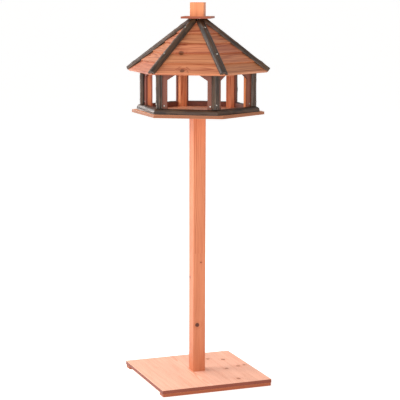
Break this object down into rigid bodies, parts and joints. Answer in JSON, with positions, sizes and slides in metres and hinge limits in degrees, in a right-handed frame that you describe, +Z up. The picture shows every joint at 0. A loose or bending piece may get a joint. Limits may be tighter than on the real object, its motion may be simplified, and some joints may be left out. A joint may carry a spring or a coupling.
{
  "type": "bird feeder",
  "caption": "Open six-sided wooden feeder house with a lapped-board roof, log trim and a small chimney, on a square post with a flat battened base.",
  "frame": {"origin": "on the ground under the middle of the post and of the square base", "axes": "+Z up along the post; +X and +Y along the base's sides, the battens lie along X; one side of the six-sided roof is square to X and one of its corners points along +Y, and the ring of walls is turned 3 degrees clockwise under it, seen from above"},
  "size_m": [0.4388, 0.5002, 1.3129],
  "materials": {
    "base_pine": "planed, pale oiled pine",
    "post_pine": "planed, orange-brown glazed pine",
    "floor_pine": "planed, orange-brown glazed pine",
    "roof_pine": "sawn boards, orange-brown glaze",
    "inner_pine": "sawn, untreated pine",
    "stained_panel": "planed, red-brown stain",
    "rustic_log": "debarked half logs, dark weathered stain",
    "steel": "zinc-plated"
  },
  "bodies": {
    "root": {"base_plate": "base_pine", "batten_screws": "steel", "chimney": "post_pine", "chimney_plate": "roof_pine", "chimney_screw": "steel", "corner_log_front_left": "rustic_log", "corner_log_front_right": "rustic_log", "corner_log_left": "rustic_log", "corner_log_nails": "steel", "corner_log_rear_left": "rustic_log", "corner_log_rear_right": "rustic_log", "corner_log_right": "rustic_log", "floor_plate": "floor_pine", "floor_screws": "steel", "front_batten": "post_pine", "hip_rafter_front_left": "inner_pine", "hip_rafter_front_right": "inner_pine", "hip_rafter_left": "inner_pine", "hip_rafter_rear_left": "inner_pine", "hip_rafter_rear_right": "inner_pine", "hip_rafter_right": "inner_pine", "inner_post_front_left": "post_pine", "inner_post_front_right": "post_pine", "inner_post_left": "post_pine", "inner_post_rear_left": "post_pine", "inner_post_rear_right": "post_pine", "inner_post_right": "post_pine", "king_block": "inner_pine", "lower_post": "post_pine", "panel_nails": "steel", "post_screws": "steel", "post_stud": "steel", "rear_batten": "post_pine", "rib_screws": "steel", "rim_log_front": "rustic_log", "rim_log_left": "rustic_log", "rim_log_rear": "rustic_log", "rim_log_rear_left": "rustic_log", "rim_log_rear_right": "rustic_log", "rim_log_right": "rustic_log", "roof_boards_front": "roof_pine", "roof_boards_left": "roof_pine", "roof_boards_rear": "roof_pine", "roof_boards_rear_left": "roof_pine", "roof_boards_rear_right": "roof_pine", "roof_boards_right": "roof_pine", "roof_rib_front_left": "rustic_log", "roof_rib_front_right": "rustic_log", "roof_rib_left": "rustic_log", "roof_rib_rear_left": "rustic_log", "roof_rib_rear_right": "rustic_log", "roof_rib_right": "rustic_log", "upper_post": "post_pine", "wall_panel_front": "stained_panel", "wall_panel_left": "stained_panel", "wall_panel_rear": "stained_panel", "wall_panel_rear_left": "stained_panel", "wall_panel_rear_right": "stained_panel", "wall_panel_right": "stained_panel"}
  },
  "joints": []
}
